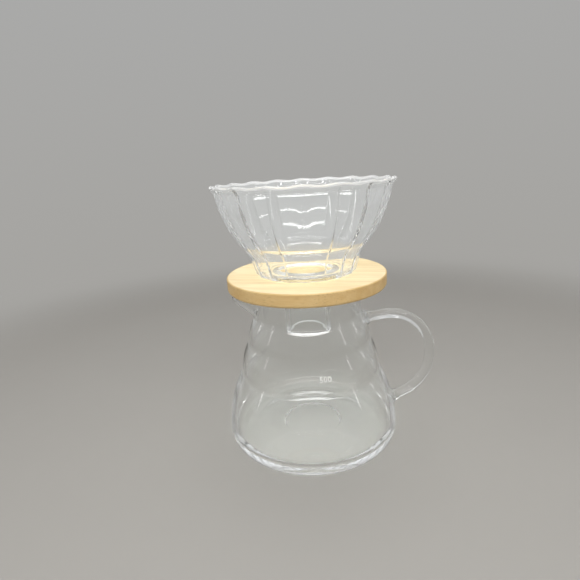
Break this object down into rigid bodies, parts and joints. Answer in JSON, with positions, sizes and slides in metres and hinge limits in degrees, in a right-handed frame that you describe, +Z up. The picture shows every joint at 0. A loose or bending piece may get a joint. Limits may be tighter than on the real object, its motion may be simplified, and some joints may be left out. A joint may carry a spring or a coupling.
{
  "type": "pour-over coffee maker",
  "caption": "Glass carafe with spout and fused rod handle, round bamboo collar on its mouth, and a fluted glass dripper whose stem passes through the collar.",
  "frame": {"origin": "on the axis of the vessels, in the plane of the carafe's foot", "axes": "+Z up along the axis, +X towards the handle, -X towards the spout"},
  "size_m": [0.1474, 0.1202, 0.1775],
  "materials": {
    "carafe_glass": "clear blown glass",
    "dripper_glass": "clear pressed glass",
    "bamboo": "fine sanded, oiled"
  },
  "bodies": {
    "carafe": {"carafe_body": "carafe_glass", "carafe_handle": "carafe_glass"},
    "collar": {"collar_strip_1": "bamboo", "collar_strip_2": "bamboo", "collar_strip_3": "bamboo", "collar_strip_4_left": "bamboo", "collar_strip_4_right": "bamboo", "collar_strip_5_left": "bamboo", "collar_strip_5_right": "bamboo", "collar_strip_6": "bamboo", "collar_strip_7": "bamboo", "collar_strip_8": "bamboo"},
    "dripper": {"dripper": "dripper_glass"}
  },
  "joints": [
    {"name": "collar_lift", "type": "slide", "parent": "carafe", "child": "collar", "axis": [0, 0, 1], "range_m": [0, 0.045]},
    {"name": "dripper_lift", "type": "slide", "parent": "collar", "child": "dripper", "axis": [0, 0, 1], "range_m": [0, 0.05]}
  ]
}
